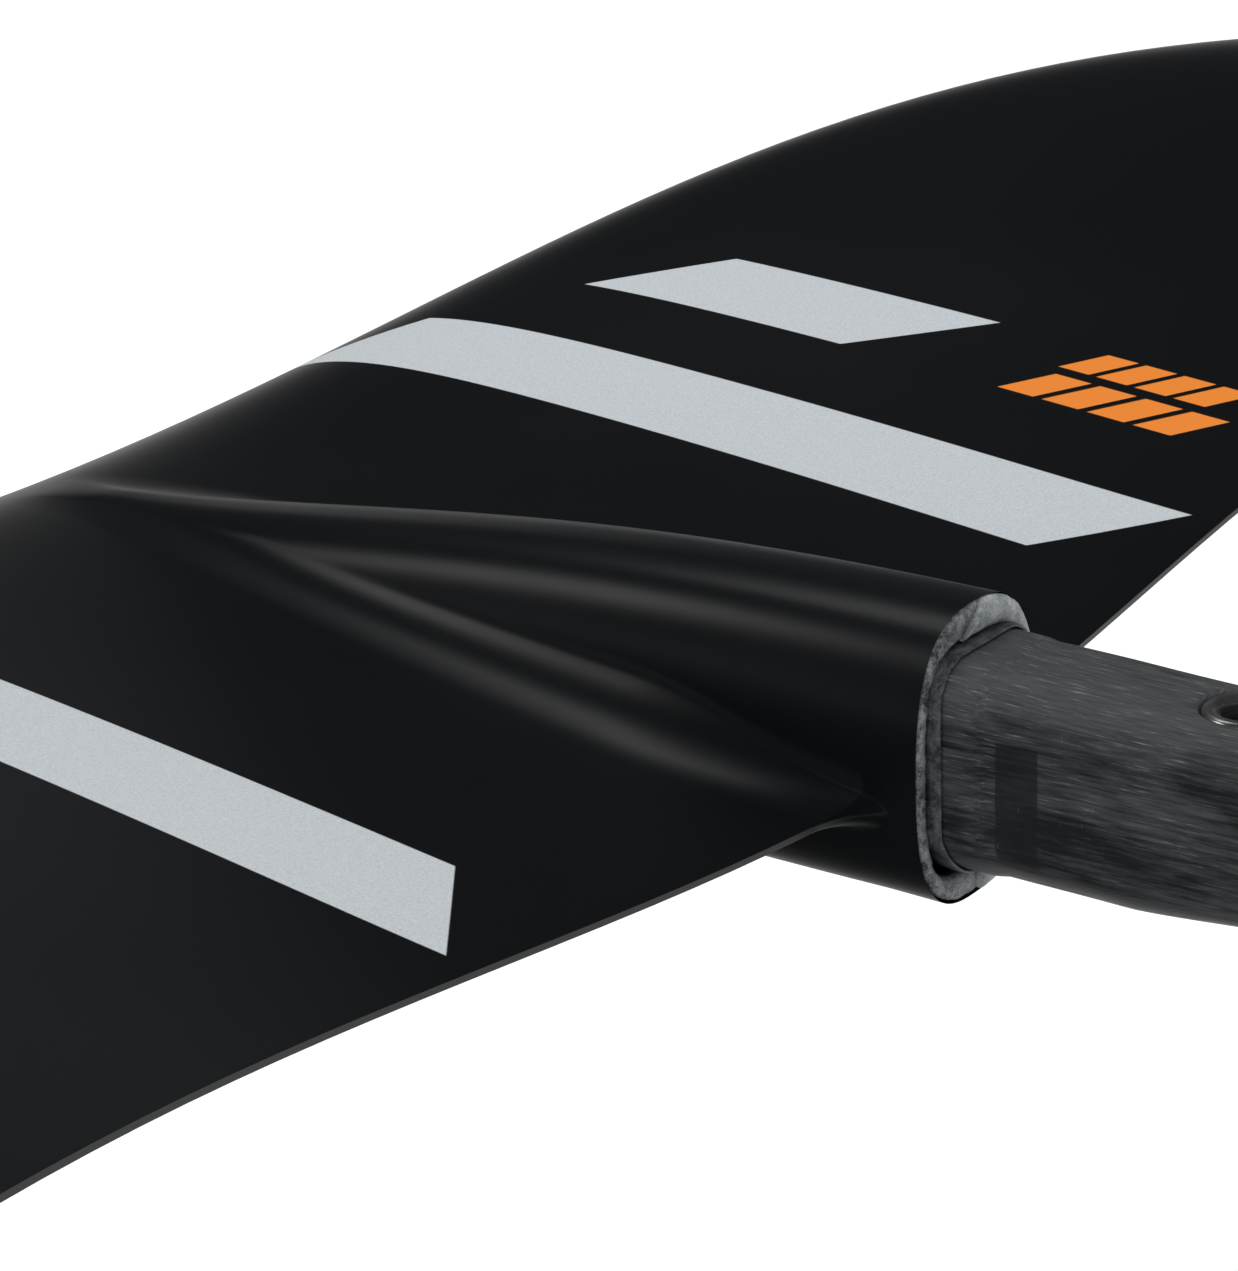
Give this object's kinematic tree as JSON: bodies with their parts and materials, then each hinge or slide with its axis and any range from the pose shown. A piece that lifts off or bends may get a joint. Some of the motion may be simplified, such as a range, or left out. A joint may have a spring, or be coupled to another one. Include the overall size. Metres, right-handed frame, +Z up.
{
  "type": "hydrofoil front wing",
  "caption": "Hydrofoil front wing: a curved carbon wing with a central nacelle and a raw carbon tenon that plugs into the fuselage.",
  "frame": {"origin": "middle of the tenon's flat end face, on the nacelle's axis", "axes": "+X starboard along the span, +Y the flight direction, +Z up"},
  "size_m": [0.747, 0.3204, 0.0638],
  "materials": {
    "gloss_black": "satin black paint over carbon laminate",
    "raw_carbon": "sanded carbon laminate",
    "sanded_laminate": "raw cut edge",
    "glass_wrap": "sanded glass laminate",
    "foam": "cut foam",
    "filler": "filled resin",
    "stainless": "machined"
  },
  "bodies": {
    "root": {"upper_skin": "gloss_black", "lower_skin": "gloss_black", "tenon": "raw_carbon", "tenon_root_wrap": "glass_wrap", "root_block": "raw_carbon", "nacelle_nose_core": "foam", "spar_cap_upper": "raw_carbon", "spar_cap_lower": "raw_carbon", "threaded_insert_aft": "stainless", "threaded_insert_fore": "stainless", "shoulder_band_port": "sanded_laminate", "shear_web_port": "raw_carbon", "foam_nose_port": "foam", "foam_tail_port": "foam", "leading_edge_strip_port": "filler", "trailing_edge_strip_port": "filler", "tip_block_port": "filler", "shoulder_band_starboard": "sanded_laminate", "shear_web_starboard": "raw_carbon", "foam_nose_starboard": "foam", "foam_tail_starboard": "foam", "leading_edge_strip_starboard": "filler", "trailing_edge_strip_starboard": "filler", "tip_block_starboard": "filler"}
  },
  "joints": []
}
